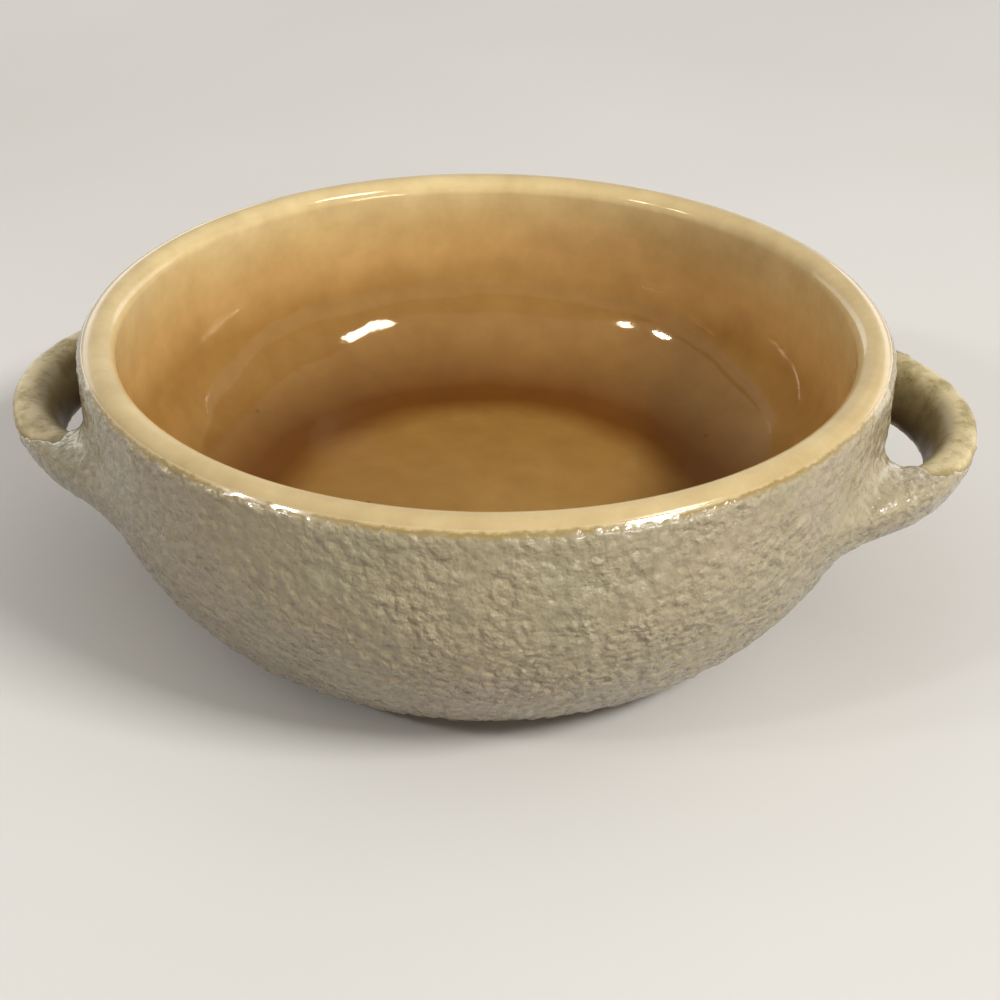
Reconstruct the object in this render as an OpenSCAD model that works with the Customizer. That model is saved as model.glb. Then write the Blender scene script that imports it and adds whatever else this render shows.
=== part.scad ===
// Mini casserole dish: a shallow stoneware bowl with two fixed loop handles.
// Millimetres, +Z up, the table at z = 0 and the handles along X.

/* [Bowl] */
// Diameter of the rim, over the outer coat
rim_d = 130; // [122:1:138]
// Height from the table to the top of the lip
dish_h = 47.5; // [45.5:0.5:52]
// Thickness of the rounded lip, over the glaze
lip_w = 5.8; // [5:0.2:7]
// Radius of the curve by which the outer wall turns in towards the foot
wall_arc_r = 41.7; // [39:0.1:44]
// Height at which the outer wall starts to turn in
wall_turn_z = 36; // [34.5:0.5:37.5]

/* [Cavity] */
// Height of the glazed floor above the table
floor_z = 11; // [9.5:0.5:13]
// Radius of the cove between the floor and the inner wall
cove_r = 23; // [18:0.5:26]

/* [Foot] */
// Outer diameter of the turned foot ring
foot_d = 86; // [76:1:90]
// Width of the foot ring's tread
foot_w = 6.5; // [4:0.5:10]
// Height of the foot ring, which is also the depth of the recess inside it
foot_h = 3; // [2:0.25:4]
// Chamfer on the edges of the foot ring
foot_chamfer = 0.8; // [0.3:0.1:1.2]

/* [Coats] */
// Thickness of the grey outer coat
coat_t = 0.6; // [0.5:0.05:0.9]
// Thickness of the glaze
glaze_t = 0.4; // [0.2:0.05:0.45]
// Angle up the outside of the lip at which the glaze meets the outer coat
coat_edge_angle = 35; // [15:1:60]

/* [Handles] */
// Reach of a handle beyond the rim
handle_reach = 13.5; // [12:0.5:15.5]
// Height of a handle's middle above the table
handle_z = 28.3; // [26.5:0.1:30]
// Height of a handle's strap
handle_h = 9.6; // [8.4:0.2:11]
// Thickness of the strap at its furthest point
handle_t = 6; // [5:0.2:7]
// Radius of the strap's outer curve, seen from above
handle_outer_r = 33.5; // [31.5:0.5:35.5]
// Radius of the strap's inner curve, seen from above
handle_inner_r = 20.4; // [19:0.2:21.8]
// Outward lean of the strap's section
handle_lean = 22; // [14:1:26]
// Squareness of the strap's section: 2 is an ellipse
handle_square = 3; // [2.4:0.1:3.6]

/* [Handle roots] */
// Size of the blend between the outer face of a root and the wall
root_blend = 8.5; // [6:0.5:10]
// Rise of the top and bottom faces of a root at the wall
root_rise = 1.7; // [0.8:0.1:2.6]
// Distance from the wall at which that rise starts
root_rise_len = 7; // [5:0.5:9]
// Amount by which the ends of the finger hole are filled in
hole_fill = 3; // [1.5:0.1:3.6]
// Width of the patch of bare wall to which each root is luted
pad_w = 7; // [5:0.5:8]
// Height of that patch
pad_h = 5; // [4:0.5:6]

/* [Hidden] */

clay_colour = "#c9b798";
honey_colour = "#b88a48";
cream_colour = "#d6c191";
coat_colour = "#968c76";

rim_r = rim_d / 2;
foot_r = foot_d / 2;
lip_bare_r = lip_w / 2 - glaze_t;
lip_x = rim_r - coat_t - lip_bare_r;
lip_z = dish_h - lip_w / 2;
wall_x = rim_r - wall_arc_r;
cavity_r = lip_x - lip_w / 2;
cove_x = cavity_r - cove_r;
cove_z = floor_z + cove_r;

// Centres along X of the polar layout of a handle, of its outer curve and of its inner curve
outer_x = rim_r + handle_reach - handle_outer_r;
inner_x = rim_r + handle_reach - handle_t - handle_inner_r;
polar_x = (outer_x + inner_x) / 2;

// Angle about the bowl's axis of the middle of a root
root_mid_r = (handle_outer_r + handle_inner_r) / 2;
root_angle = acos((pow(rim_r, 2) + pow(polar_x, 2) - pow(root_mid_r, 2)) / (2 * rim_r * polar_x));
// Depth of the cutter for a bare patch, measured in from the rim
pad_depth = 8;

// A root's surface ends this far under the coat, so the bowl always trims it
root_sink = 1;
// The finger hole's ends are filled in over about this width of gap
hole_fill_w = 4;

// Steps in a full turn about the axis and in a section's circles, where they are drawn as meshes
turn_steps = 180;
arc_steps = 120;
// Half angle of a handle's sweep, its steps, and the steps around its section
sweep_end = 96;
sweep_steps = 44;
section_steps = 24;
// Section angles between which the outer coat covers a handle: underneath, then on top
coat_from = -114;
coat_to = 66;

// Radius of the coated wall at height z
function wall_r(z) = z >= wall_turn_z ? rim_r : wall_x + sqrt(pow(wall_arc_r, 2) - pow(wall_turn_z - z, 2));

// Distance at angle a from the layout centre to a circle of radius r centred on the X axis at x
function ray(a, r, x) = (x - polar_x) * cos(a) + sqrt(pow(r, 2) - pow((x - polar_x) * sin(a), 2));

// The greater of two lengths, with a smooth blend of size k where they are close
function blend_max(p, q, k) = max(p, q) + pow(max(k - abs(p - q), 0), 2) / (4 * k);

// Signed power, which squares off a sine or cosine
function squared(v) = sign(v) * pow(abs(v), 2 / handle_square);

// Rise of a root's top or bottom face at distance d from the wall
function rise(d) = root_rise * pow(max(0, 1 - max(d, 0) / root_rise_len), 2);

// Thickness by which the hole's end is filled in where the hole is g wide
function fill_in(g) = g > 0 ? hole_fill * exp(-pow(g / hole_fill_w, 2)) : hole_fill;

// Point on a handle at sweep angle a and section angle t, sunk by inset under the coated surface
function handle_point(a, t, inset) =
    let (
        side = squared(cos(t)),
        level = squared(sin(t)),
        half_h = handle_h / 2 - inset,
        lean = half_h * level * tan(handle_lean),
        far = ray(a, handle_outer_r, outer_x),
        near = ray(a, handle_inner_r, inner_x),
        flat_r = (far + near) / 2 + ((far - near) / 2 - inset) * side + lean,
        gap = norm([polar_x + flat_r * cos(a), flat_r * sin(a)]) - rim_r,
        z = handle_z + level * (half_h + rise(gap)),
        wall = ray(a, wall_r(z), 0),
        face = far + lean - inset,
        flare = blend_max(face, wall - root_sink, root_blend) - face,
        r = flat_r + max(side, 0) * flare - max(-side, 0) * fill_in(near - wall)
    )
    [polar_x + r * cos(a), r * sin(a), z];

// Section angles from t0 to t1 in n steps
function angles(t0, t1, n) = [for (i = [0:n]) t0 + (t1 - t0) * i / n];

// Sweep angle of step i, closer together towards the roots
function sweep_angle(i) = sweep_end * sin(90 * (2 * i / sweep_steps - 1));

// Ring of a solid strap
function solid_ring(a, inset) =
    [for (i = [0:section_steps - 1]) handle_point(a, 360 * i / section_steps, inset)];

// Ring of a skin between two section angles and two depths
function skin_ring(a, t0, t1, top, bottom) =
    let (n = round(section_steps * (t1 - t0) / 360))
    concat(
        [for (t = angles(t0, t1, n)) handle_point(a, t, top)],
        [for (t = angles(t1, t0, n)) handle_point(a, t, bottom)]
    );

// Faces of a swept solid with m rings of n points, the sides as triangles
function sweep_faces(m, n) = concat(
    [[for (j = [n - 1:-1:0]) j]],
    [for (i = [0:m - 2]) for (j = [0:n - 1]) [i * n + j, i * n + (j + 1) % n, (i + 1) * n + j]],
    [for (i = [0:m - 2]) for (j = [0:n - 1])
        [i * n + (j + 1) % n, (i + 1) * n + (j + 1) % n, (i + 1) * n + j]],
    [[for (j = [0:n - 1]) (m - 1) * n + j]]
);

module swept(rings) {
    polyhedron(
        points = [for (ring = rings) for (p = ring) p],
        faces = sweep_faces(len(rings), len(rings[0])),
        convexity = 6
    );
}

// Upper half of the lip's section, with radius r
module lip_half(r) {
    translate([lip_x, lip_z])
    intersection() {
        circle(r = r, $fn = arc_steps);
        translate([-r, 0])
        square([2 * r, r]);
    }
}

// What lies outside the lip's middle and below the coat's edge, and what lies above both
module below_edge() {
    translate([lip_x, lip_z])
    polygon([[0, 0], [lip_w, 0], [lip_w, lip_w * tan(coat_edge_angle)]]);
}

module above_edge() {
    translate([lip_x, lip_z])
    polygon([
        [0, 0],
        [lip_w, lip_w * tan(coat_edge_angle)],
        [lip_w, 2 * lip_w],
        [-lip_w, 2 * lip_w],
        [-lip_w, 0]
    ]);
}

// Half section of the filled bowl below the lip, grown by d over the bare clay
module outside_half(d) {
    translate([0, foot_h])
    square([wall_x, wall_turn_z - foot_h]);
    intersection() {
        translate([wall_x, wall_turn_z])
        circle(r = wall_arc_r - coat_t + d, $fn = turn_steps);
        translate([wall_x, foot_h])
        square([rim_r, wall_turn_z - foot_h]);
    }
    translate([0, wall_turn_z])
    square([rim_r - coat_t + d, lip_z - wall_turn_z]);
}

// Half section of the cavity below the lip, grown by d over the glazed surface
module cavity_half(d) {
    translate([0, floor_z - d])
    square([cove_x, cove_r + d]);
    intersection() {
        translate([cove_x, cove_z])
        circle(r = cove_r + d, $fn = arc_steps);
        translate([cove_x, floor_z - d])
        square([cove_r + d, cove_r + d]);
    }
    translate([0, cove_z])
    square([cavity_r + d, lip_z - cove_z]);
}

module foot_half() {
    inner = foot_r - foot_w;
    polygon([
        [inner + foot_chamfer, 0],
        [foot_r - foot_chamfer, 0],
        [foot_r, foot_chamfer],
        [foot_r, foot_h],
        [inner, foot_h],
        [inner, foot_chamfer]
    ]);
}

// Half section of the bowl's wall and floor, with glaze of thickness g on its inside and lip
module wall_half(g) {
    difference() {
        outside_half(0);
        cavity_half(glaze_t - g);
    }
    lip_half(lip_bare_r + g);
}

module bowl_body() {
    color(clay_colour)
    rotate_extrude($fn = turn_steps) {
        wall_half(0);
        foot_half();
    }
}

module honey_glaze() {
    color(honey_colour)
    rotate_extrude($fn = turn_steps)
    difference() {
        wall_half(glaze_t);
        wall_half(0);
        below_edge();
    }
}

// Half section of the filled bowl with its lip, grown by d over the bare clay
module coated_half(d) {
    outside_half(d);
    lip_half(lip_bare_r + d);
}

// Outside of the bowl, filled and grown by d over the bare clay, for trimming what is fixed to it
module outside(d) {
    rotate_extrude($fn = turn_steps)
    outside_half(d);
}

// Cutters for the four bare patches
module pads() {
    for (a = [root_angle, -root_angle, 180 - root_angle, 180 + root_angle])
        rotate(a)
        translate([rim_r - pad_depth, -pad_w / 2, handle_z - pad_h / 2])
        cube([2 * pad_depth, pad_w, pad_h]);
}

// Coated outside of the bowl, filled, with the bare patches let into the coat
module patched_outside() {
    difference() {
        outside(coat_t);
        difference() {
            pads();
            outside(0);
        }
    }
}

module outer_coat() {
    color(coat_colour)
    difference() {
        rotate_extrude($fn = turn_steps)
        difference() {
            coated_half(coat_t);
            coated_half(0);
            above_edge();
        }
        pads();
    }
}

module right_handle() {
    color(clay_colour)
    difference() {
        swept([for (i = [0:sweep_steps]) solid_ring(sweep_angle(i), coat_t)]);
        patched_outside();
    }
}

module left_handle() {
    mirror([1, 0, 0])
    right_handle();
}

module right_handle_coat() {
    color(coat_colour)
    difference() {
        swept([for (i = [0:sweep_steps]) skin_ring(sweep_angle(i), coat_from, coat_to, 0, coat_t)]);
        outside(coat_t);
    }
}

module left_handle_coat() {
    mirror([1, 0, 0])
    right_handle_coat();
}

module right_handle_glaze() {
    color(cream_colour)
    difference() {
        swept([for (i = [0:sweep_steps])
            skin_ring(sweep_angle(i), coat_to, 360 + coat_from, coat_t - glaze_t, coat_t)]);
        outside(coat_t);
    }
}

module left_handle_glaze() {
    mirror([1, 0, 0])
    right_handle_glaze();
}

bowl_body();
left_handle();
right_handle();
honey_glaze();
outer_coat();
left_handle_coat();
right_handle_coat();
left_handle_glaze();
right_handle_glaze();
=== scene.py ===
"""Looks of a mini casserole dish: a glazed stoneware bowl with two loop handles.

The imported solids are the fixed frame. Each class builds the visible skins of one sub-assembly over
them, in the same place, and dresses them. Lengths are millimetres until a mesh is finished.
"""

import logging
import math
from collections.abc import Callable
from dataclasses import dataclass, field
from enum import Enum
from functools import partial
from typing import Any

import bmesh
import bpy
from bmesh.types import BMesh, BMVert
from bpy.types import Material, NodeSocket, NodeTree, Object
from mathutils import Matrix, Vector, noise


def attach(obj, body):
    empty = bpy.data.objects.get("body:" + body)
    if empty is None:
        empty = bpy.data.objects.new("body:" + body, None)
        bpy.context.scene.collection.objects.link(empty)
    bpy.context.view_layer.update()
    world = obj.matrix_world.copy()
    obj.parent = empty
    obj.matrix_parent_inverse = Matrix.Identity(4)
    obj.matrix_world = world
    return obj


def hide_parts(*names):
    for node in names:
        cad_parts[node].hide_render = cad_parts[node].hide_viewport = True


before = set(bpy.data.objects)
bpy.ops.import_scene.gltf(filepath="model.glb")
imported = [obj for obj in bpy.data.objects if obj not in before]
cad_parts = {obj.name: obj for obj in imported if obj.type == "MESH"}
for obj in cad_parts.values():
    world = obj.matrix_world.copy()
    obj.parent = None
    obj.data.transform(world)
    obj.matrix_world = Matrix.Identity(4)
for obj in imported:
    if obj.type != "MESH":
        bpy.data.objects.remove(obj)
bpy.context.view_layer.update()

LOG = logging.getLogger("casserole_dish")
MM = 0.001
# The noise that bends the coat's pebbles starts from the clock unless it is given a seed
NOISE_SEED = 7
# The lining's colours follow its course attribute, the distance down the section over this length
COURSE_LENGTH = 100.0
# A Mix node's colour sockets share their names with others, so they go by index
SHARE, UNDER, OVER = 0, 6, 7
MIXED = {"out": 2, "data_type": "RGBA"}
MULTIPLIED = {**MIXED, "blend_type": "MULTIPLY"}
# What goes into a node's sockets, a call that adds a node, and a strap's vertex with its two angles
Sockets = dict[str | int, Any]
Adder = Callable[..., NodeSocket]
Spot = tuple[BMVert, float, float]
Span = tuple[float, float]
Triple = tuple[float, float, float]


class Side(Enum):
    """Side of the bowl that a handle is on, as the sign of X."""

    LEFT = -1
    RIGHT = 1

    @property
    def label(self) -> str:
        """Name of the side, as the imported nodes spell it."""
        return self.name.lower()


def linear(code: str) -> tuple[float, float, float, float]:
    """Turns an sRGB hex colour into linear RGBA.

    Args:
        code: Colour as "#rrggbb".

    Returns:
        Linear red, green, blue and an alpha of 1.
    """
    parts = [int(code[i : i + 2], 16) / 255 for i in (1, 3, 5)]
    r, g, b = (c / 12.92 if c <= 0.04045 else ((c + 0.055) / 1.055) ** 2.4 for c in parts)
    return (r, g, b, 1.0)


def pattern(place: NodeSocket, size: float, **more: float) -> Sockets:
    """Sockets of a pattern whose features are this many millimetres across."""
    return {"Vector": place, "Scale": 1.0 / (size * MM), **more}


def ease(low: float, high: float, value: float) -> float:
    """Smooth step from 0 at low to 1 at high."""
    share = min(max((value - low) / (high - low), 0.0), 1.0)
    return share * share * (3.0 - 2.0 * share)


def between(low: float, high: float, share: float) -> float:
    """Value a share of the way from low to high."""
    return low + (high - low) * share


def waves(place: Vector, *parts: Span) -> float:
    """Sum of fixed noises at a place, each with its height and its size in millimetres."""
    return sum(height * noise.noise(place / size) for height, size in parts)


def add_node(
    tree: NodeTree,
    kind: str,
    inputs: Sockets | None = None,
    out: str | int = 0,
    stops: list[tuple[float, str]] | None = None,
    **settings: Any,
) -> NodeSocket | None:
    """Adds a shader node with its settings and links.

    Args:
        tree: Node tree that gets the node.
        kind: Blender's name for the kind of node, without ShaderNode.
        inputs: What goes into its sockets, by name or index: another node's socket, a value, or an sRGB
            hex colour. A pair under From or To goes into the sockets of that name with Min and Max.
        out: Name or index of the output that is wanted.
        stops: Positions and sRGB hex colours, for a colour ramp.
        **settings: The node's own properties.

    Returns:
        The output that is wanted, or nothing from a node that has none.
    """
    node = tree.nodes.new(f"ShaderNode{kind}")
    for name, value in settings.items():
        setattr(node, name, value)
    filled: Sockets = {}
    for key, value in (inputs or {}).items():
        if f"{key} Min" in node.inputs:
            filled[f"{key} Min"], filled[f"{key} Max"] = value
        else:
            filled[key] = value
    for key, value in filled.items():
        if isinstance(value, NodeSocket):
            tree.links.new(value, node.inputs[key])
        else:
            node.inputs[key].default_value = linear(value) if isinstance(value, str) else value
    if stops:
        elements = node.color_ramp.elements
        elements.remove(elements[1])
        elements[0].position = stops[0][0]
        elements[0].color = linear(stops[0][1])
        for position, code in stops[1:]:
            elements.new(position).color = linear(code)
    return node.outputs[out] if node.outputs else None


@dataclass(frozen=True)
class Finish:
    """A surface finish, drawn by nodes."""

    name: str

    def shade(self, add: Adder, place: NodeSocket) -> Sockets:
        """What goes into the shader's sockets; each finish has its own."""
        raise NotImplementedError

    def material(self) -> Material:
        """Builds the material.

        Returns:
            A new material with the finish's nodes.
        """
        material = bpy.data.materials.new(self.name)
        material.use_nodes = True
        tree = material.node_tree
        tree.nodes.clear()
        add = partial(add_node, tree)
        shader = add("BsdfPrincipled", self.shade(add, add("TexCoord", out="Object")))
        add("OutputMaterial", {"Surface": shader})
        return material


@dataclass(frozen=True)
class HoneyGlaze(Finish):
    """Poured honey glaze: thin and cream on the lip, deeper amber where it pooled above the floor."""

    # Melted glass over clay: sharp reflections on the wall, cream where it is thin, amber where deep
    name: str = "honey_glaze_poured"
    lip: str = "#d3bb89"
    # Partly painted sheen: the cream over the lip's inner edge is lightened for the soft highlight it
    # catches
    lip_inside_and_sheen: str = "#ecd49c"
    wall_top: str = "#e8c889"
    wall: str = "#e7bb77"
    wall_low: str = "#b68a4b"
    cove: str = "#a97f46"
    cove_low: str = "#8e662f"
    pool: str = "#683c07"
    floor: str = "#966f34"
    floor_middle: str = "#9b7538"
    speck: str = "#4b3013"
    veil_tone: str = "#a9905f"
    sheen: str = "#ffebcb"
    gloss: float = 0.06
    lip_gloss: float = 0.16
    floor_gloss: float = 0.42
    drift_size: float = 24.0
    cloud_size: float = 7.0
    speck_gap: float = 13.0
    speck_rarity: float = 0.62
    peel_size: float = 2.6

    def shade(self, add: Adder, place: NodeSocket) -> Sockets:
        """Shades the glaze by the distance down the section, with soft mottling and rare specks.

        Args:
            add: Adds a node.
            place: Object coordinates.

        Returns:
            The shader's sockets.
        """
        course = add("Attribute", out="Fac", attribute_name="course")
        drift = add("TexNoise", pattern(place, self.drift_size))
        shift = add("MapRange", {"Value": drift, "From": (0.3, 0.7), "To": (-0.012, 0.012)})
        down = add("Math", {0: course, 1: shift}, operation="ADD")
        # The stop at 0.065 is the lip's inner edge, lightened by painted sheen
        tones = [(0.03, self.lip), (0.065, self.lip_inside_and_sheen), (0.12, self.wall_top), (0.19, self.wall)]
        tones += [(0.26, self.wall_low), (0.34, self.cove), (0.4, self.cove_low), (0.485, self.pool)]
        tones += [(0.525, self.pool), (0.6, self.floor), (0.9, self.floor_middle)]
        ramp = add("ValToRGB", {"Fac": down}, stops=tones)
        cloud = add("TexNoise", pattern(place, self.cloud_size, Detail=5.0, Roughness=0.62))
        veil = add("MapRange", {"Value": cloud, "From": (0.3, 0.7), "To": (0.0, 0.28)})
        mottled = add("Mix", {SHARE: veil, UNDER: ramp, OVER: self.veil_tone}, **MULTIPLIED)
        cells = add("TexVoronoi", pattern(place, self.speck_gap))
        near = add("MapRange", {"Value": cells, "From": (0.02, 0.05), "To": (0.7, 0.0)})
        few = add("Math", {0: cells.node.outputs["Color"], 1: self.speck_rarity}, operation="GREATER_THAN")
        specks = add("Math", {0: near, 1: few}, operation="MULTIPLY")
        colour = add("Mix", {SHARE: specks, UNDER: mottled, OVER: self.speck}, **MIXED)
        sleek = add("MapRange", {"Value": down, "From": (0.04, 0.09), "To": (self.lip_gloss, self.gloss)})
        rough = add("MapRange", {"Value": down, "From": (0.37, 0.45), "To": (sleek, self.floor_gloss)})
        peel = add("TexNoise", pattern(place, self.peel_size))
        bump = add("Bump", {"Height": peel, "Strength": 0.12, "Distance": 0.2 * MM})
        made = {"Base Color": colour, "Roughness": rough, "Normal": bump}
        return {**made, "IOR": 1.48, "Specular Tint": self.sheen}


@dataclass(frozen=True)
class PebbledCoat(Finish):
    """Fired grey coat, crumpled like orange peel: satin with small wet glints on its tops."""

    # A stiff glaze that crawled in the kiln: dull grey, with painted shade in its valleys, painted light
    # on its tops and a wet glint on each pebble
    name: str = "grey_coat_pebbled"
    grey: str = "#b1a583"
    warm: str = "#b5a784"
    rosy: str = "#b5a588"
    green: str = "#afa684"
    # Painted shade and painted light: the relief's valleys are darkened towards valley, its tops lightened
    # towards top
    valley: str = "#978a69"
    top: str = "#c3b696"
    dust_tone: str = "#a89c86"
    border: str = "#a38a50"
    lip: str = "#d0b887"
    patch_size: float = 17.0
    grain_size: float = 1.1
    pebble_size: float = 1.7
    zone_size: float = 8.0
    border_break: float = 1.1
    pebble_share: float = -0.9

    def shade(self, add: Adder, place: NodeSocket) -> Sockets:
        """Shades the coat by its relief, with painted shade in its valleys, painted light on its tops,
        faint patches, fine grain and a brown border.

        Args:
            add: Adds a node.
            place: Object coordinates.

        Returns:
            The shader's sockets.
        """
        relief = add("Attribute", out="Fac", attribute_name="relief")
        cover = add("Attribute", out="Fac", attribute_name="cover")
        patch = add("TexNoise", pattern(place, self.patch_size, Detail=3.0, Roughness=0.6))
        tones = [(0.34, self.green), (0.45, self.grey), (0.55, self.warm), (0.66, self.rosy)]
        ground = add("ValToRGB", {"Fac": patch}, stops=tones)
        # Painted shade in the relief's valleys, painted light on its tops
        low = add("MapRange", {"Value": relief, "From": (0.0, 0.45), "To": (0.7, 0.0)})
        sunk = add("Mix", {SHARE: low, UNDER: ground, OVER: self.valley}, **MIXED)
        high = add("MapRange", {"Value": relief, "From": (0.55, 1.0), "To": (0.0, 0.75)})
        raised = add("Mix", {SHARE: high, UNDER: sunk, OVER: self.top}, **MIXED)
        grain = add("TexNoise", pattern(place, self.grain_size))
        dust = add("MapRange", {"Value": grain, "From": (0.35, 0.65), "To": (0.25, 0.0)})
        grained = add("Mix", {SHARE: dust, UNDER: raised, OVER: self.dust_tone}, **MULTIPLIED)
        broken = add("Math", {0: grain, 1: self.border_break, 2: cover}, operation="MULTIPLY_ADD")
        stain = add("MapRange", {"Value": broken, "From": (-0.1, 0.35)})
        covered = add("MapRange", {"Value": broken, "From": (0.4, 1.15)})
        edged = add("Mix", {SHARE: stain, UNDER: self.lip, OVER: self.border}, **MIXED)
        colour = add("Mix", {SHARE: covered, UNDER: edged, OVER: grained}, **MIXED)
        satin = add("MapRange", {"Value": grain, "From": (0.3, 0.7), "To": (0.22, 0.42)})
        rough = add("MapRange", {"Value": covered, "To": (0.16, satin)})
        pebbles = add("TexVoronoi", pattern(place, self.pebble_size, Smoothness=0.3), feature="SMOOTH_F1")
        peel = add("Math", {0: pebbles, 1: self.pebble_share, 2: grain}, operation="MULTIPLY_ADD")
        zone = add("TexNoise", pattern(place, self.zone_size, Detail=1.0))
        calm = add("MapRange", {"Value": zone, "From": (0.35, 0.65), "To": (0.4, 1.0)})
        level = add("SeparateXYZ", {"Vector": place}, out="Z")
        even = add("MapRange", {"Value": level, "From": (12.0 * MM, 40.0 * MM), "To": (1.25, 0.8)})
        strong = add("Math", {0: calm, 1: even}, operation="MULTIPLY")
        rippled = add("Math", {0: peel, 1: strong}, operation="MULTIPLY")
        faded = add("Math", {0: rippled, 1: covered}, operation="MULTIPLY")
        bump = add("Bump", {"Height": faded, "Distance": 0.75 * MM})
        made = {"Base Color": colour, "Roughness": rough, "Normal": bump}
        return {**made, "IOR": 1.5, "Coat Weight": 0.65, "Coat Roughness": 0.1}


@dataclass(frozen=True)
class CreamGlaze(Finish):
    """Thin cream glaze over buff clay on the handles, cloudy olive, with painted shade inside the loop,
    and peppered with pits.
    """

    # A wash of glaze that the clay half drank: satin, cloudy and full of fine dark pinholes
    name: str = "cream_glaze_thin"
    cream: str = "#d6c394"
    olive: str = "#ab9862"
    # Painted shade: the inside face of each loop is darkened towards this brown
    dark: str = "#4f3d1f"
    pit: str = "#5a482a"
    border: str = "#8c7a4b"
    cloud_size: float = 5.0
    pepper_size: float = 0.7
    grit_size: float = 0.8
    cloud_share: float = -0.42
    border_break: float = 1.6

    def shade(self, add: Adder, place: NodeSocket) -> Sockets:
        """Shades the glaze with olive clouds, painted shade inside the loop, dark pits and a brown line
        along the coat.

        Args:
            add: Adds a node.
            place: Object coordinates.

        Returns:
            The shader's sockets.
        """
        cover = add("Attribute", out="Fac", attribute_name="cover")
        cloud = add("TexNoise", pattern(place, self.cloud_size, Detail=4.0, Roughness=0.65))
        ground = add("ValToRGB", {"Fac": cloud}, stops=[(0.38, self.olive), (0.57, self.cream)])
        # Painted shade: the hollow attribute darkens the inside face of the loop
        hollow = add("Attribute", out="Fac", attribute_name="hollow")
        painted_loop_shade = add("Mix", {SHARE: hollow, UNDER: ground, OVER: self.dark}, **MIXED)
        pepper = add("TexNoise", pattern(place, self.pepper_size, Detail=3.0, Roughness=0.65))
        dirt = add("Math", {0: cloud, 1: self.cloud_share, 2: pepper}, operation="MULTIPLY_ADD")
        pits = add("MapRange", {"Value": dirt, "From": (0.36, 0.56), "To": (0.0, 0.6)})
        pitted = add("Mix", {SHARE: pits, UNDER: painted_loop_shade, OVER: self.pit}, **MIXED)
        stained = add("Math", {0: pepper, 1: self.border_break, 2: cover}, operation="MULTIPLY_ADD")
        edge = add("MapRange", {"Value": stained, "From": (-1.8, 1.0), "To": (0.0, 0.75)})
        colour = add("Mix", {SHARE: edge, UNDER: pitted, OVER: self.border}, **MIXED)
        rough = add("MapRange", {"Value": cloud, "From": (0.3, 0.7), "To": (0.5, 0.36)})
        grit = add("TexNoise", pattern(place, self.grit_size))
        bump = add("Bump", {"Height": grit, "Strength": 0.25, "Distance": 0.1 * MM})
        return {"Base Color": colour, "Roughness": rough, "IOR": 1.5, "Normal": bump}


@dataclass(frozen=True)
class BareStoneware(Finish):
    """Unglazed buff stoneware: dry and matte, with grog specks and a faint toasted cast."""

    # Fired clay as the wheel left it: no shine at all, a dusty grain and darker grains of grog
    name: str = "stoneware_bare"
    buff: str = "#c9b798"
    toasted: str = "#b59a74"
    grog: str = "#7b6447"
    patch_size: float = 20.0
    grog_gap: float = 1.9
    grog_rarity: float = 0.6
    grain_size: float = 0.6

    def shade(self, add: Adder, place: NodeSocket) -> Sockets:
        """Shades the clay with toasted patches, fine grog and a dry grain.

        Args:
            add: Adds a node.
            place: Object coordinates.

        Returns:
            The shader's sockets.
        """
        patch = add("TexNoise", pattern(place, self.patch_size, Detail=4.0))
        ground = add("ValToRGB", {"Fac": patch}, stops=[(0.38, self.buff), (0.68, self.toasted)])
        cells = add("TexVoronoi", pattern(place, self.grog_gap))
        near = add("MapRange", {"Value": cells, "From": (0.06, 0.16), "To": (0.6, 0.0)})
        few = add("Math", {0: cells.node.outputs["Color"], 1: self.grog_rarity}, operation="GREATER_THAN")
        grog = add("Math", {0: near, 1: few}, operation="MULTIPLY")
        colour = add("Mix", {SHARE: grog, UNDER: ground, OVER: self.grog}, **MIXED)
        grain = add("TexNoise", pattern(place, self.grain_size, Detail=3.0))
        rough = add("MapRange", {"Value": grain, "From": (0.3, 0.7), "To": (0.78, 0.92)})
        bump = add("Bump", {"Height": grain, "Strength": 0.4, "Distance": 0.12 * MM})
        return {"Base Color": colour, "Roughness": rough, "IOR": 1.45, "Normal": bump}


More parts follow.
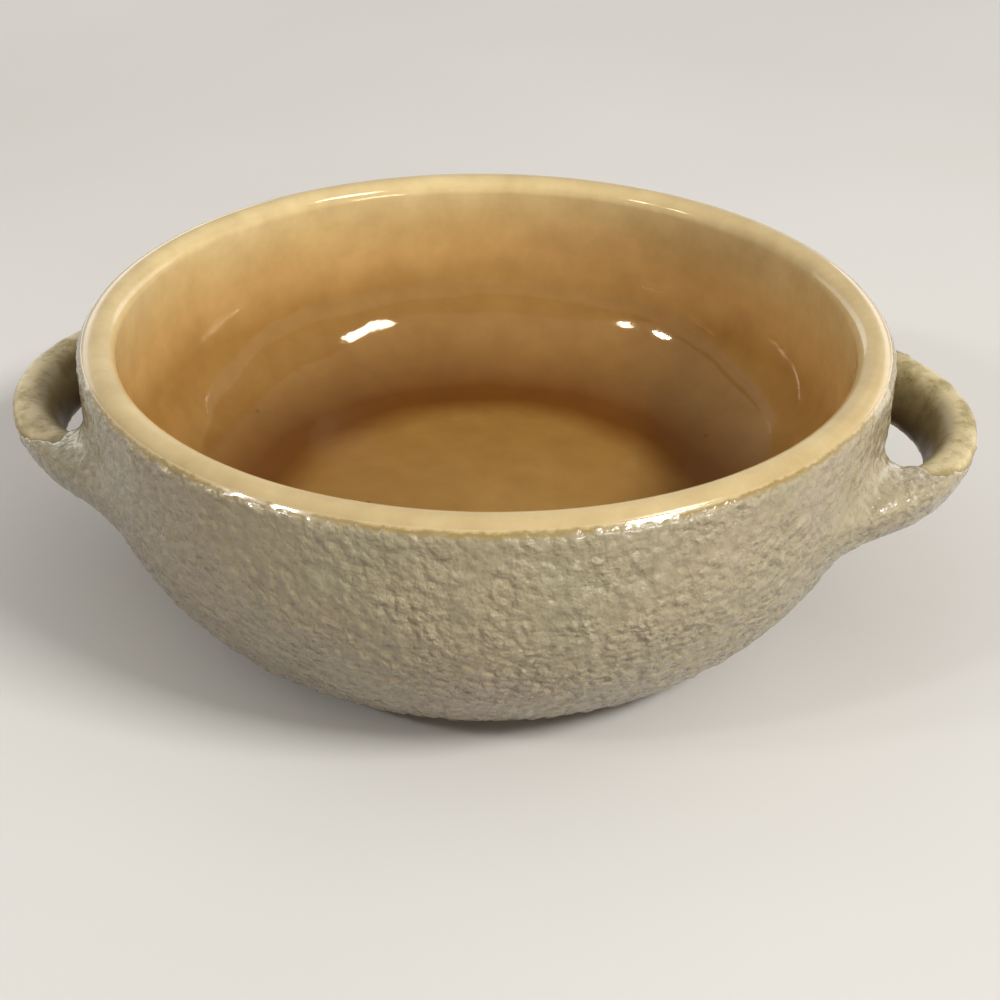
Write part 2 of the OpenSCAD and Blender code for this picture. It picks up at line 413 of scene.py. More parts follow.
@dataclass(frozen=True)
class StudioPaper(Finish):
    """Matte pale paper under the dish, with the faintest cloudiness."""

    # Uncoated paper: no sheen, a soft shadow under the dish, and one even tone far from it
    name: str = "studio_paper"
    pale: str = "#e2dfd9"
    shade_tone: str = "#dedad3"
    bounced: str = "#7d6a5a"
    unlit: str = "#000000"
    cloud_size: float = 160.0
    far_glow: float = 0.92
    near_end: float = 0.25
    far_start: float = 0.75

    def shade(self, add: Adder, place: NodeSocket) -> Sockets:
        """Shades the paper almost evenly, and dimmer in the light that it throws back on the dish.

        Args:
            add: Adds a node.
            place: Object coordinates.

        Returns:
            The shader's sockets.
        """
        cloud = add("TexNoise", pattern(place, self.cloud_size))
        paper = add("ValToRGB", {"Fac": cloud}, stops=[(0.35, self.shade_tone), (0.65, self.pale)])
        rays = add("LightPath").node.outputs
        glossy, clear = rays["Is Glossy Ray"], rays["Is Transmission Ray"]
        mirrored = add("Math", {0: glossy, 1: clear}, operation="MAXIMUM")
        seen = add("Math", {0: rays["Is Camera Ray"], 1: mirrored}, operation="MAXIMUM")
        away = add("VectorMath", {0: place}, out="Value", operation="LENGTH")
        far = add("MapRange", {"Value": away, "From": (self.near_end, self.far_start)})
        lit = add("Mix", {SHARE: far, UNDER: paper, OVER: self.unlit}, **MIXED)
        colour = add("Mix", {SHARE: seen, UNDER: self.bounced, OVER: lit}, **MIXED)
        seen_far = add("Math", {0: far, 1: seen}, operation="MULTIPLY")
        glow = add("MapRange", {"Value": seen_far, "To Max": self.far_glow})
        glowing = {"Emission Color": self.pale, "Emission Strength": glow}
        return {**glowing, "Base Color": colour, "Roughness": 0.85, "Specular IOR Level": 0.0}


def spin_about_z(mesh: BMesh, angle: float, steps: int) -> None:
    """Spins a whole section about Z, through an angle in radians."""
    section = mesh.verts[:] + mesh.edges[:]
    bmesh.ops.spin(mesh, geom=section, cent=Vector(), axis=(0.0, 0.0, 1.0), angle=angle, steps=steps)


class SectionPen:
    """Draws a closed half section in the XZ plane, and spins it about Z."""

    def __init__(self, x: float, z: float) -> None:
        """Puts the pen down.

        Args:
            x: Radius of the first point.
            z: Height of the first point.
        """
        self.mesh = bmesh.new()
        self.course = self.mesh.verts.layers.float.new("course")
        self.first = self.mesh.verts.new((x, 0.0, z))
        self.tip = self.first
        self.length = 0.0
        self.drawing_front = True
        self._mark([self.tip])

    def _mark(self, points: list[BMVert]) -> None:
        """Gives each new point its distance along the front, or -1 on the back.

        Args:
            points: The new points, in order.
        """
        for point in points:
            self.length += (point.co - self.tip.co).length
            self.tip = point
            point[self.course] = self.length if self.drawing_front else -1.0

    def line(self, x: float, z: float, steps: int = 1) -> None:
        """Draws a straight run.

        Args:
            x: Radius at its end.
            z: Height at its end.
            steps: Number of equal edges in it.
        """
        step = (Vector((x, 0.0, z)) - self.tip.co) / steps
        for _ in range(steps):
            end = bmesh.ops.extrude_vert_indiv(self.mesh, verts=[self.tip])["verts"]
            bmesh.ops.translate(self.mesh, verts=end, vec=step)
            self._mark(end)

    def arc(self, x: float, z: float, turn: float, steps: int) -> None:
        """Draws an arc about a centre.

        Args:
            x: Radius of the centre.
            z: Height of the centre.
            turn: Degrees turned, from +X towards +Z.
            steps: Number of edges in it.
        """
        about = {"cent": (x, 0.0, z), "axis": (0.0, -1.0, 0.0), "angle": math.radians(turn / steps)}
        for _ in range(steps):
            made = bmesh.ops.spin(self.mesh, geom=[self.tip], steps=1, **about)
            self._mark([p for p in made["geom_last"] if isinstance(p, BMVert)])

    def back(self) -> None:
        """Marks what follows as the hidden back of a skin."""
        self.drawing_front = False

    def spun(self, columns: int, closed: bool = True) -> BMesh:
        """Spins the section into a closed skin.

        Args:
            columns: Number of steps in the full turn.
            closed: Whether the section comes back to its first point, away from the axis.

        Returns:
            The mesh, with its poles and seam merged and its faces turned outwards.
        """
        if closed:
            self.mesh.edges.new((self.tip, self.first))
        slices, full, merge = 8, 2.0 * math.pi, 0.001
        angle = full / slices
        spin_about_z(self.mesh, angle, columns // slices)
        while angle < full - merge:
            whole = self.mesh.verts[:] + self.mesh.edges[:] + self.mesh.faces[:]
            made = bmesh.ops.duplicate(self.mesh, geom=whole)["geom"]
            copied = [part for part in made if isinstance(part, BMVert)]
            turn = Matrix.Rotation(angle, 3, "Z")
            bmesh.ops.rotate(self.mesh, verts=copied, cent=Vector(), matrix=turn)
            angle *= 2.0
        bmesh.ops.remove_doubles(self.mesh, verts=self.mesh.verts[:], dist=merge)
        bmesh.ops.recalc_face_normals(self.mesh, faces=self.mesh.faces[:])
        self.mesh.normal_update()
        return self.mesh


def shown(name: str, data: bpy.types.ID) -> Object:
    """Makes an object of some data, and puts it in the scene.

    Args:
        name: Name of the object.
        data: Its mesh, light or camera.

    Returns:
        The new object.
    """
    made = bpy.data.objects.new(name, data)
    bpy.context.scene.collection.objects.link(made)
    return made


def meshed(mesh: BMesh, name: str, finish: Material) -> Object:
    """Makes an object of a mesh.

    Args:
        mesh: Mesh in metres, which is freed.
        name: Name of the object.
        finish: Its material.

    Returns:
        The new object.
    """
    data = bpy.data.meshes.new(name)
    mesh.to_mesh(data)
    mesh.free()
    data.materials.append(finish)
    return shown(name, data)


def finished(mesh: BMesh, name: str, finish: Material, node: str) -> None:
    """Makes a mesh into a piece, in metres and at the origin, that rides on the dish.

    Args:
        mesh: Mesh in millimetres, which is freed.
        name: Name of the piece.
        finish: Material of the piece.
        node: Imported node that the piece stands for.
    """
    bmesh.ops.recalc_face_normals(mesh, faces=mesh.faces[:])
    bmesh.ops.scale(mesh, verts=mesh.verts[:], vec=(MM, MM, MM))
    for face in mesh.faces:
        face.smooth = True
    piece = meshed(mesh, name, finish)
    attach(piece, "root")
    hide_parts(node)
    LOG.info("%s: %d faces", name, len(piece.data.polygons))


@dataclass(frozen=True)
class PebbleRelief:
    """Crumpled relief of the fired coat, from fixed noise, in the coat's own millimetres."""

    pebble: float = 1.75
    crease: float = 2.6
    wrinkle: float = 1.5
    swell: float = 7.0
    warp: float = 0.9
    warp_size: float = 2.8
    depth: float = 0.24
    dome_mean: float = 0.52
    crease_mean: float = 0.22
    # Shares of the dome, the crease, the wrinkle and the swell
    shares: tuple[float, float, float, float] = (1.5, 1.3, 0.45, 0.5)
    limit: float = 1.2
    calm: Span = (1.2, 0.8)
    calm_span: Span = (12.0, 40.0)
    film: float = 0.17
    film_span: Span = (-0.9, 0.6)
    grow_span: Span = (-0.1, 0.8)

    def height(self, place: Vector) -> float:
        """Works out the relief at a place.

        Args:
            place: Point of the smooth surface.

        Returns:
            Height from about -1 in a valley to 1 on a top, rougher low on the wall.
        """
        bent = place + self.warp * noise.noise_vector(place / self.warp_size)
        dome = self.dome_mean - noise.voronoi(bent / self.pebble)[0][0]
        crease = abs(noise.noise(bent / self.crease)) - self.crease_mean
        wrinkle = noise.noise(bent / self.wrinkle)
        swell = noise.noise(place / self.swell)
        calm = between(*self.calm, ease(*self.calm_span, place.z))
        mixed = sum(share * part for share, part in zip(self.shares, (dome, crease, wrinkle, swell)))
        return calm * max(-self.limit, min(self.limit, mixed))

    def thinned(self, inside: float) -> float:
        """Depth that the coat loses where it thins to a film across its border."""
        return self.film * ease(*self.film_span, -inside)

    def risen(self, height: float, inside: float) -> float:
        """Rise of the relief, which grows from nothing within the border."""
        return self.depth * height * ease(*self.grow_span, inside)


@dataclass
class Bowl:
    """The bowl: a turned body, its honey lining and its pebbled coat."""

    rim_r: float = 65.0
    lip_x: float = 61.9
    lip_z: float = 44.6
    lip_r: float = 2.9
    wall_x: float = 23.3
    wall_z: float = 36.0
    wall_r: float = 41.7
    cavity_r: float = 59.0
    cove_x: float = 36.0
    cove_z: float = 34.0
    cove_r: float = 23.0
    foot_r: float = 43.0
    foot_in_r: float = 36.5
    foot_h: float = 3.0
    foot_round: float = 0.8
    coat_t: float = 0.6
    glaze_t: float = 0.4
    border_angle: float = 28.0
    relief: PebbleRelief = field(default_factory=PebbleRelief)

    def wall_at(self, z: float) -> float:
        """Radius of the coated wall at a height."""
        low = self.wall_z - z
        return self.rim_r if low <= 0.0 else self.wall_x + math.sqrt(self.wall_r**2 - low**2)

    def on_lip(self, radius: float, angle: float) -> Span:
        """Radius and height of a point on a circle about the lip's middle."""
        turn = math.radians(angle)
        return self.lip_x + radius * math.cos(turn), self.lip_z + radius * math.sin(turn)

    def build_lining(self, finish: Material) -> None:
        """Builds the glaze over the lip, the inner wall and the floor.

        Args:
            finish: The honey glaze.
        """
        tuck, edge, heel = 20.0, 27.0, 150.0
        start_r, under_r, spare = 2.4, 2.2, 0.1
        wave_h, wave_run = 0.2, 20.0
        floor_z = self.cove_z - self.cove_r
        deep = self.glaze_t + spare
        pen = SectionPen(*self.on_lip(start_r, tuck))
        pen.line(*self.on_lip(self.lip_r, edge), 2)
        start = pen.length
        pen.arc(self.lip_x, self.lip_z, 180.0 - edge, 40)
        pen.line(self.cavity_r, self.cove_z, 10)
        pen.arc(self.cove_x, self.cove_z, -90.0, 40)
        pen.line(0.0, floor_z, 30)
        pen.back()
        pen.line(0.0, floor_z - deep)
        pen.line(self.cove_x, floor_z - deep, 5)
        pen.arc(self.cove_x, self.cove_z, 90.0, 14)
        pen.line(self.cavity_r + deep, self.lip_z, 2)
        pen.line(*self.on_lip(under_r, heel))
        pen.arc(self.lip_x, self.lip_z, tuck - heel, 10)
        mesh = pen.spun(288)
        course = mesh.verts.layers.float["course"]
        border = math.radians(self.border_angle - edge) * self.lip_r
        for point in mesh.verts:
            if point[course] < 0.0:
                continue
            wave = waves(point.co, (1.0, 13.0), (0.25, 6.0))
            point.co += wave_h * wave * ease(0.0, wave_run, point[course]) * point.normal
            point[course] = (point[course] - start - border) / COURSE_LENGTH
        finished(mesh, "honey_lining", finish, "honey_glaze")

    def build_coat(self, finish: Material) -> None:
        """Builds the pebbled coat from the foot to the lip's outer shoulder.

        Args:
            finish: The pebbled coat.
        """
        under_z, turn_r, hidden_r = 2.6, 2.0, 2.1
        hem, hem_out, hem_drop, hem_back = 0.4, 1.4, 0.1, 0.9
        shoulder, top_angle = 12.0, 64.0
        tuck_depth, tuck_span = 0.5, (0.75, 1.25)
        turn_z = under_z + turn_r
        turn_x = self.wall_x + math.sqrt((self.wall_r - turn_r) ** 2 - (self.wall_z - turn_z) ** 2)
        low = math.degrees(math.atan2(turn_z - self.wall_z, turn_x - self.wall_x))
        lip_out = self.rim_r - self.lip_x
        pen = SectionPen(self.foot_r + hem, self.foot_h + hem)
        pen.line(self.foot_r + hem_out, under_z + hem_drop, 3)
        lower = pen.length
        pen.line(turn_x, under_z, 5)
        pen.arc(turn_x, turn_z, 90.0 + low, 4)
        pen.arc(self.wall_x, self.wall_z, -low, 74)
        pen.line(self.rim_r, self.lip_z, 16)
        upper = pen.length + math.radians(self.border_angle) * lip_out
        pen.arc(self.lip_x, self.lip_z, shoulder, 2)
        pen.arc(self.lip_x, self.lip_z, top_angle - shoulder, 14)
        pen.back()
        pen.line(*self.on_lip(hidden_r, top_angle))
        pen.line(*self.on_lip(hidden_r, 0.0))
        pen.line(self.lip_x + hidden_r, self.wall_z)
        pen.arc(self.wall_x, self.wall_z, low, 7)
        pen.line(self.foot_r + hem_back, turn_z)
        mesh = pen.spun(720)
        course = mesh.verts.layers.float["course"]
        relief = mesh.verts.layers.float.new("relief")
        cover = mesh.verts.layers.float.new("cover")
        for point in mesh.verts:
            if point[course] < 0.0:
                continue
            place = point.co.copy()
            height = self.relief.height(place)
            edge = min(upper - point[course], point[course] - lower)
            inside = edge + waves(place, (0.12, 0.8), (0.3, 3.5))
            thin = self.relief.thinned(inside) + tuck_depth * ease(*tuck_span, -edge)
            # This relief attribute also drives the coat's painted shade in valleys and painted light on
            # tops
            point[relief] = 0.5 + 0.5 * height
            point[cover] = inside
            point.co += (self.relief.risen(height, inside) - thin) * point.normal
        finished(mesh, "pebbled_coat", finish, "outer_coat")

    def build_body(self, finish: Material) -> None:
        """Builds the turned clay body, whose foot and base stay bare.

        Args:
            finish: The bare stoneware.
        """
        soft, hollow, heel = self.foot_round, 1.1, 0.5
        groove_gap, groove_h, groove_from, groove_end = 2.1, 0.07, 4.0, 2.0
        nub_h, nub_r = 0.1, 6.0
        recess_r = self.foot_in_r - hollow
        bare_lip = self.lip_r - self.glaze_t
        clay_r = self.wall_r - self.coat_t
        low = -math.degrees(math.asin((self.wall_z - self.foot_h) / clay_r))
        floor_z = self.cove_z - self.cove_r - self.glaze_t
        pen = SectionPen(0.0, self.foot_h)
        pen.line(recess_r, self.foot_h, 72)
        pen.arc(recess_r, self.foot_h - hollow, -90.0, 6)
        pen.line(self.foot_in_r, soft)
        pen.arc(self.foot_in_r + soft, soft, 90.0, 6)
        pen.line(self.foot_r - soft, 0.0, 6)
        pen.arc(self.foot_r - soft, soft, 90.0, 6)
        pen.line(self.foot_r, self.foot_h - heel)
        pen.arc(self.foot_r + heel, self.foot_h - heel, -90.0, 4)
        pen.back()
        pen.line(self.wall_x + clay_r * math.cos(math.radians(low)), self.foot_h, 2)
        pen.arc(self.wall_x, self.wall_z, -low, 14)
        pen.line(self.rim_r - self.coat_t, self.lip_z, 2)
        pen.arc(self.lip_x, self.lip_z, 180.0, 12)
        pen.line(self.lip_x - bare_lip, self.cove_z, 2)
        pen.arc(self.cove_x, self.cove_z, -90.0, 12)
        pen.line(0.0, floor_z, 5)
        mesh = pen.spun(192, closed=False)
        for point in mesh.verts:
            radius = math.hypot(point.co.x, point.co.y)
            if radius < recess_r and point.co.z < self.foot_h + heel:
                drift = waves(point.co, (0.35, 9.0))
                groove = math.sin(2.0 * math.pi * (radius / groove_gap + drift))
                spread = ease(0.0, groove_from, radius) * ease(0.0, groove_end, recess_r - radius)
                point.co.z += groove_h * groove * spread + nub_h * (1.0 - ease(0.0, nub_r, radius))
        finished(mesh, "turned_body", finish, "bowl_body")


@dataclass
class LoopHandle:
    """A loop handle: a clay strap with the pebbled coat outside and cream glaze on top and within.

    An angle is the sweep along the strap about the layout's centre, and a turn goes around its section,
    from the outer face upwards, both in radians. An inset is the depth under the coated surface.
    """

    side: Side
    bowl: Bowl
    reach: float = 13.5
    middle_z: float = 28.3
    strap_h: float = 9.6
    strap_t: float = 6.0
    outer_r: float = 33.5
    inner_r: float = 20.4
    lean: float = 22.0
    square: float = 3.0
    root_blend: float = 8.5
    root_round: float = 3.8
    root_sink: float = 0.16
    corner_r: float = 2.2
    coat_low: float = -114.0
    coat_high: float = 22.0
    coat_climb: float = 0.3
    coat_relief: float = 0.7
    hole_relief: float = 0.3
    root_cover: float = 2.2
    mm_per_degree: float = 0.085
    ragged_root: float = 0.25
    ragged_span: Span = (0.8, 4.0)
    seed_shift: float = 40.0
    front_bare: float = 48.0
    back_bare: float = 52.0
    ends: dict[int, float] = field(default_factory=dict)

    def __post_init__(self) -> None:
        """Works out the layout's centres along X."""
        self.outer_x = self.bowl.rim_r + self.reach - self.outer_r
        self.inner_x = self.bowl.rim_r + self.reach - self.strap_t - self.inner_r
        self.polar_x = (self.outer_x + self.inner_x) / 2.0

    def ray(self, angle: float, radius: float, x: float) -> float:
        """Distance from the layout's centre to a circle centred on the X axis."""
        off = x - self.polar_x
        return off * math.cos(angle) + math.sqrt(radius**2 - (off * math.sin(angle)) ** 2)

    def polar(self, angle: float, radius: float) -> Vector:
        """Point in plan at an angle and a distance from the layout's centre."""
        return Vector((self.polar_x + radius * math.cos(angle), radius * math.sin(angle)))

    def section(self, turn: float, inset: float) -> Triple:
        """Places a point of the section.

        Args:
            turn: Turn around the section.
            inset: Depth under the surface.

        Returns:
            Share of the way out from -1 to 1, share of the way up from -1 to 1, and lean outwards.
        """
        power = 2.0 / self.square
        side = math.copysign(abs(math.cos(turn)) ** power, math.cos(turn))
        level = math.copysign(abs(math.sin(turn)) ** power, math.sin(turn))
        lean = (self.strap_h / 2.0 - inset) * level * math.tan(math.radians(self.lean))
        return side, level, lean

    def outer_at(self, angle: float, lean: float, wall_r: float, inset: float) -> Vector:
        """Point in plan of the outer face, which flares onto the bowl's wall.

        Args:
            angle: Sweep along the strap.
            lean: Lean outwards at this height.
            wall_r: Radius of the bowl's wall at this height.
            inset: Depth under the surface.

        Returns:
            The point.
        """
        sink_from = 0.6
        face = self.ray(angle, self.outer_r + lean, self.outer_x)
        wall = self.ray(angle, wall_r, 0.0)
        apart = max(self.root_blend - abs(face - wall), 0.0)
        sunk = self.root_sink * ease(sink_from, 1.0, (wall - face) / self.root_blend)
        flared = max(face, wall) + apart**2 / (4.0 * self.root_blend)
        return self.polar(angle, flared - sunk - inset)

    def inner_at(self, angle: float, end: float, lean: float, wall_r: float, inset: float) -> Vector:
        """Point in plan of the inner face, which turns a rounded corner onto the bowl's wall.

        Args:
            angle: Sweep along the strap.
            end: Sweep at which the strap ends.
            lean: Lean outwards at this height.
            wall_r: Radius of the bowl's wall at this height.
            inset: Depth under the surface.

        Returns:
            The point.
        """
        hole_r, wall_r = self.inner_r + lean + inset, wall_r - inset
        out, across = wall_r + self.corner_r, hole_r - self.corner_r
        x = (out**2 + self.inner_x**2 - across**2) / (2.0 * self.inner_x)
        corner = Vector((x, math.sqrt(out**2 - x**2)))
        leave = math.atan2(corner.y, corner.x - self.inner_x)
        land = math.atan2(corner.y, corner.x)
        tangent = Vector((self.inner_x + hole_r * math.cos(leave), hole_r * math.sin(leave)))
        start = math.atan2(tangent.y, tangent.x - self.polar_x)
        if angle < start:
            return self.polar(angle, self.ray(angle, hole_r, self.inner_x))
        share, landed, tail = (angle - start) / (end - start), 0.8, 1.2
        if share < landed:
            turn = between(leave, land + math.pi, share / landed)
            return corner + self.corner_r * Vector((math.cos(turn), math.sin(turn)))
        past = (share - landed) / (1.0 - landed)
        turn = land - tail * past / wall_r
        return (wall_r - self.root_sink * past) * Vector((math.cos(turn), math.sin(turn)))

    def plan_at(self, angle: float, turn: float, inset: float) -> tuple[Vector, float]:
        """Finds a point of the strap's surface in plan.

        Args:
            angle: Sweep along the strap.
            turn: Turn around the section.
            inset: Depth under the surface.

        Returns:
            The point, and the bowl's radius at its height.
        """
        side, level, lean = self.section(turn, inset)
        wall_r = self.bowl.wall_at(self.middle_z + level * (self.strap_h / 2.0 - inset))
        outer = self.outer_at(abs(angle), lean, wall_r, inset)
        inner = self.inner_at(abs(angle), self.root_angle(turn), lean, wall_r, inset)
        return inner.lerp(outer, (1.0 + side) / 2.0), wall_r

    def surface(self, angle: float, turn: float, inset: float) -> Vector:
        """Finds a point of the strap's surface.

        Args:
            angle: Sweep along the strap.
            turn: Turn around the section.
            inset: Depth under the surface.

        Returns:
            The point, on the right-hand handle.
        """
        plan, wall_r = self.plan_at(angle, turn, 0.0)
        near = max(1.0 - max(plan.length - wall_r, 0.0) / self.root_round, 0.0)
        rise = self.root_round * (1.0 - math.sqrt(1.0 - near**2))
        if inset != 0.0:
            plan, wall_r = self.plan_at(angle, turn, inset)
        level = self.section(turn, inset)[1]
        z = self.middle_z + level * (self.strap_h / 2.0 - inset + rise)
        plan *= (plan.length + self.bowl.wall_at(z) - wall_r) / plan.length
        return Vector((plan.x, math.copysign(plan.y, angle), z))

    def clearance(self, point: Vector) -> float:
        """Distance of a point outside the bowl's coated wall."""
        return math.hypot(point.x, point.y) - self.bowl.wall_at(point.z)

    def root_angle(self, turn: float) -> float:
        """Finds the sweep at which the outer face has run onto the bowl's wall.

        Args:
            turn: Turn around the section.

        Returns:
            Radians of sweep.
        """
        key, halvings = round(turn * 10000.0), 30
        if key not in self.ends:
            _, level, lean = self.section(turn, 0.0)
            wall_r = self.bowl.wall_at(self.middle_z + level * self.strap_h / 2.0)
            low, high = math.radians(25.0), math.radians(110.0)
            for _ in range(halvings):
                middle = (low + high) / 2.0
                face = self.ray(middle, self.outer_r + lean, self.outer_x)
                if face - self.ray(middle, wall_r, 0.0) > -self.root_blend:
                    low = middle
                else:
                    high = middle
            self.ends[key] = high
        return self.ends[key]

    def coat_depth(self, angle: float, turn: float) -> float:
        """Measures from the coat's ragged border.

        Args:
            angle: Sweep along the strap.
            turn: Turn around the section.

        Returns:
            Distance in millimetres, positive where the coat covers.
        """
        point = self.surface(angle, turn, 0.0)
        around = math.degrees(turn) + (360.0 if math.degrees(turn) < self.coat_low else 0.0)
        across = self.mm_per_degree * min(self.coat_high - around, around - self.coat_low)
        across = max(across, self.mm_per_degree * (around - self.coat_low - 360.0))
        bare = self.front_bare if angle < 0.0 else self.back_bare
        bare -= self.coat_climb * max(90.0 - around, 0.0)
        along = 0.5 * (self.outer_r + self.inner_r) * (abs(angle) - math.radians(bare))
        clear = self.clearance(point)
        rooted = max(along, self.root_cover - clear)
        seed = point + Vector((0.0, 0.0, self.seed_shift * self.side.value))
        ragged = waves(seed, (1.1, 3.2), (0.6, 1.0))
        ragged *= between(self.ragged_root, 1.0, ease(*self.ragged_span, clear))
        return max(across, rooted) + ragged

    def swept(self, columns: int, rows: int, *layers: str) -> list[Spot]:
        """Sweeps a closed strap about the layout's centre.

        Args:
            columns: Steps along the strap.
            rows: Steps around its section.
            *layers: Names of the attributes that its vertices get.

        Returns:
            Each vertex with its sweep angle and section angle; the mesh is kept on the handle.
        """
        self.mesh = bmesh.new()
        for layer in layers:
            self.mesh.verts.layers.float.new(layer)
        ring_x, ring_r, half = 10.0, 1.0, math.radians(90.0)
        ring = bmesh.ops.create_circle(self.mesh, segments=rows, radius=ring_r)["verts"]
        bmesh.ops.rotate(self.mesh, verts=ring, cent=Vector(), matrix=Matrix.Rotation(half, 3, "X"))
        bmesh.ops.translate(self.mesh, verts=ring, vec=(ring_x, 0.0, 0.0))
        bmesh.ops.rotate(self.mesh, verts=ring, cent=Vector(), matrix=Matrix.Rotation(-half, 3, "Z"))
        spin_about_z(self.mesh, 2.0 * half, columns)
        rim = [edge for edge in self.mesh.edges if edge.is_boundary]
        spots: list[Spot] = []
        for point in self.mesh.verts:
            share = math.atan2(point.co.y, point.co.x) / half
            turn = math.atan2(point.co.z, math.hypot(point.co.x, point.co.y) - ring_x)
            spots.append((point, share * self.root_angle(turn), turn))
        caps = bmesh.ops.holes_fill(self.mesh, edges=rim, sides=0)["faces"]
        bmesh.ops.poke(self.mesh, faces=caps)
        return spots

    def placed(self, point: Vector) -> Vector:
        """Puts a point of the right-hand handle on this handle's side."""
        return Vector((point.x * self.side.value, point.y, point.z))

    def build_coat(self, finish: Material) -> None:
        """Builds the pebbled coat of the outer face, the underside and the roots.

        Args:
            finish: The pebbled coat.
        """
        clear_span, hole_span = (0.3, 8.0), (0.0, 0.8)
        tuck_depth, tuck_span = 0.55, (0.5, 1.1)
        spots = self.swept(236, 80, "relief", "cover")
        relief = self.mesh.verts.layers.float["relief"]
        cover = self.mesh.verts.layers.float["cover"]
        for point, angle, turn in spots:
            place = self.placed(self.surface(angle, turn, 0.0))
            clear = ease(*clear_span, self.clearance(place))
            height = self.bowl.relief.height(place) * between(1.0, self.coat_relief, clear)
            height *= between(1.0, self.hole_relief, ease(*hole_span, -self.section(turn, 0.0)[0]))
            inside = self.coat_depth(angle, turn)
            thin = self.bowl.relief.thinned(inside) + tuck_depth * ease(*tuck_span, -inside)
            inset = thin - self.bowl.relief.risen(height, inside)
            # This relief attribute also drives the coat's painted shade in valleys and painted light on
            # tops
            point[relief] = 0.5 + 0.5 * height
            point[cover] = inside
            point.co = self.placed(self.surface(angle, turn, inset))
        self.settle_caps(spots)
        node = f"{self.side.label}_handle_coat"
        finished(self.mesh, f"{self.side.label}_handle_pebbled_coat", finish, node)

    def build_glaze(self, finish: Material) -> None:
        """Builds the cream glaze of the top and the inside of the loop, with painted shade inside it.

        Args:
            finish: The cream glaze.
        """
        shown_depth, hidden_depth, hide_span = 0.2, 0.55, (-0.2, 0.6)
        shadow, shadow_span, shadow_fall = 0.95, (0.1, 1.0), (0.8, 0.35)
        spots = self.swept(170, 60, "cover", "hollow")
        cover = self.mesh.verts.layers.float["cover"]
        hollow = self.mesh.verts.layers.float["hollow"]
        for point, angle, turn in spots:
            inside = self.coat_depth(angle, turn)
            place = self.surface(angle, turn, 0.0)
            wave = waves(self.placed(place), (0.07, 2.4))
            inset = between(shown_depth + wave, hidden_depth, ease(*hide_span, inside))
            side, level, _ = self.section(turn, 0.0)
            # Painted shade: darkest on the loop's inside face, and more so towards its lower edge
            point[hollow] = shadow * ease(*shadow_span, -side) * between(*shadow_fall, level)
            point[cover] = inside
            point.co = self.placed(self.surface(angle, turn, inset))
        self.settle_caps(spots)
        node = f"{self.side.label}_handle_glaze"
        finished(self.mesh, f"{self.side.label}_handle_cream_glaze", finish, node)

    def settle_caps(self, spots: list[Spot]) -> None:
        """Moves the middle of each end's cap to the mean of the end's ring.

        Args:
            spots: The strap's swept vertices, which leave out the two middles.
        """
        known = {point for point, _, _ in spots}
        for point in self.mesh.verts:
            if point not in known:
                ring = [edge.other_vert(point).co for edge in point.link_edges]
                point.co = sum(ring, Vector()) / len(ring)

    def build_core(self, finish: Material) -> None:
        """Builds the clay strap under the skins.

        Args:
            finish: The bare stoneware.
        """
        depth = 0.8
        spots = self.swept(96, 40)
        for point, angle, turn in spots:
            point.co = self.placed(self.surface(angle, turn, depth))
        self.settle_caps(spots)
        node = f"{self.side.label}_handle"
        finished(self.mesh, f"{node}_clay", finish, node)


@dataclass(frozen=True)
class Lamp:
    """A rectangular lamp, aimed at the dish."""

    name: str
    towards: Triple
    width: float
    height: float
    radiance: float
    distance: float = 1.2
    along: Triple = (1.0, 0.0, 0.0)
    level: bool = False

    def build(self, aim: Vector) -> None:
        """Hangs the lamp.

        Args:
            aim: Point that it faces, in metres.
        """
        data = bpy.data.lights.new(self.name, "AREA")
        data.shape = "RECTANGLE"
        data.size = self.width
        data.size_y = self.height
        data.energy = self.radiance * math.pi * self.width * self.height
        outwards = Vector(self.towards).normalized()
        place = aim + self.distance * outwards
        facing = Vector((0.0, 0.0, 1.0)) if self.level else outwards
        across = Vector(self.along)
        across = (across - across.dot(facing) * facing).normalized()
        turn = Matrix((across, facing.cross(across), facing)).transposed().to_4x4()
        shown(self.name, data).matrix_world = Matrix.Translation(place) @ turn


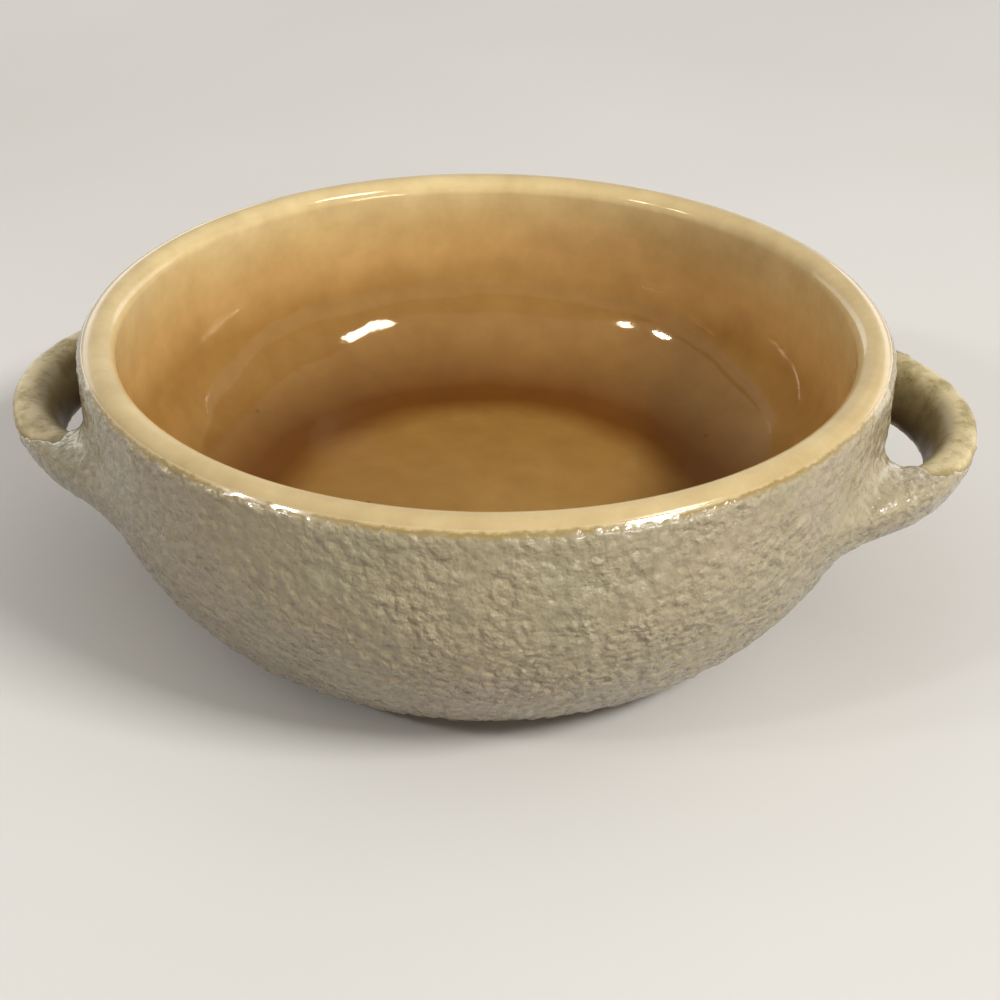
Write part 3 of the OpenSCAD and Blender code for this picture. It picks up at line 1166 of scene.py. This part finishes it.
@dataclass
class Studio:
    """Pale floor, soft lamps and the camera."""

    floor_r: float = 3.0
    floor_sides: int = 96
    backdrop_h: float = 1.4
    ambient: str = "#5a5550"
    eye: Triple = (0.0193, -0.2417, 0.1607)
    yaw: float = 4.0
    pitch: float = 31.553
    roll: float = 0.744
    lens: float = 59.4
    sensor: float = 36.0
    near_clip: float = 0.01
    aim: Triple = (0.0, 0.0, 0.03)
    lamps: tuple[Lamp, ...] = (
        Lamp("ceiling_panel", (-0.5, 0.5, 1.0), 2.5, 2.8, radiance=0.52, distance=1.12, level=True),
        Lamp("strip_lamp", (0.631, -0.374, 0.679), 0.38, 0.15, radiance=54.0, along=(0.394, 0.905, 0.162)),
        Lamp("small_lamp_a", (-0.641, -0.495, 0.586), 0.075, 0.075, radiance=85.0),
        Lamp("small_lamp_b", (-0.778, -0.365, 0.512), 0.075, 0.06, radiance=80.0),
        Lamp("low_window", (0.67, -0.743, 0.085), 0.4, 0.2, radiance=17.0, along=(0.743, 0.67, 0.0)),
        Lamp("back_fill_left", (-0.6, 0.78, 0.17), 1.0, 0.36, 1.6, distance=1.3, along=(0.78, 0.6, 0.0)),
        Lamp("back_fill_right", (0.6, 0.78, 0.17), 1.0, 0.36, 1.6, distance=1.3, along=(0.78, -0.6, 0.0)),
    )

    def build(self) -> None:
        """Sets the floor, the light and the camera."""
        self.lay_floor()
        self.light()
        self.place_camera()

    def lay_floor(self) -> None:
        """Lays the pale floor under the foot, with a low backdrop all around."""
        mesh = bmesh.new()
        bmesh.ops.create_circle(mesh, cap_ends=True, segments=self.floor_sides, radius=self.floor_r)
        rim = [edge for edge in mesh.edges if edge.is_boundary]
        wall = bmesh.ops.extrude_edge_only(mesh, edges=rim)["geom"]
        raised = [part for part in wall if isinstance(part, BMVert)]
        bmesh.ops.translate(mesh, verts=raised, vec=(0.0, 0.0, self.backdrop_h))
        floor = meshed(mesh, "studio_floor", StudioPaper().material())

    def light(self) -> None:
        """Lights the room evenly and hangs the lamps."""
        scene = bpy.context.scene
        scene.view_settings.view_transform = "Standard"
        world = bpy.data.worlds.new("studio_room")
        world.use_nodes = True
        tree = world.node_tree
        tree.nodes.clear()
        room = add_node(tree, "Background", {"Color": self.ambient})
        add_node(tree, "OutputWorld", {"Surface": room})
        scene.world = world
        for lamp in self.lamps:
            lamp.build(Vector(self.aim))

    def place_camera(self) -> None:
        """Puts the camera where the photograph was taken from."""
        data = bpy.data.cameras.new("photo_camera")
        data.lens = self.lens
        data.sensor_width = self.sensor
        data.sensor_fit = "HORIZONTAL"
        data.clip_start = self.near_clip
        camera = shown("photo_camera", data)
        camera.matrix_world = (
            Matrix.Translation(Vector(self.eye))
            @ Matrix.Rotation(math.radians(self.yaw), 4, "Z")
            @ Matrix.Rotation(math.radians(90.0 - self.pitch), 4, "X")
            @ Matrix.Rotation(math.radians(self.roll), 4, "Z")
        )
        bpy.context.scene.camera = camera


def main() -> None:
    """Builds the dish, piece by piece, and the studio around it."""
    logging.basicConfig(level=logging.INFO, format="%(name)s: %(message)s")
    noise.seed_set(NOISE_SEED)
    honey = HoneyGlaze().material()
    coat = PebbledCoat().material()
    cream = CreamGlaze().material()
    clay = BareStoneware().material()
    bowl = Bowl()
    bowl.build_body(clay)
    bowl.build_lining(honey)
    bowl.build_coat(coat)
    left = LoopHandle(Side.LEFT, bowl, reach=12.9, corner_r=1.4, front_bare=56.0)
    right = LoopHandle(Side.RIGHT, bowl, reach=14.1, corner_r=3.0, front_bare=48.0)
    for handle in (left, right):
        handle.build_core(clay)
        handle.build_coat(coat)
        handle.build_glaze(cream)
    Studio().build()


if __name__ == "__main__":
    main()
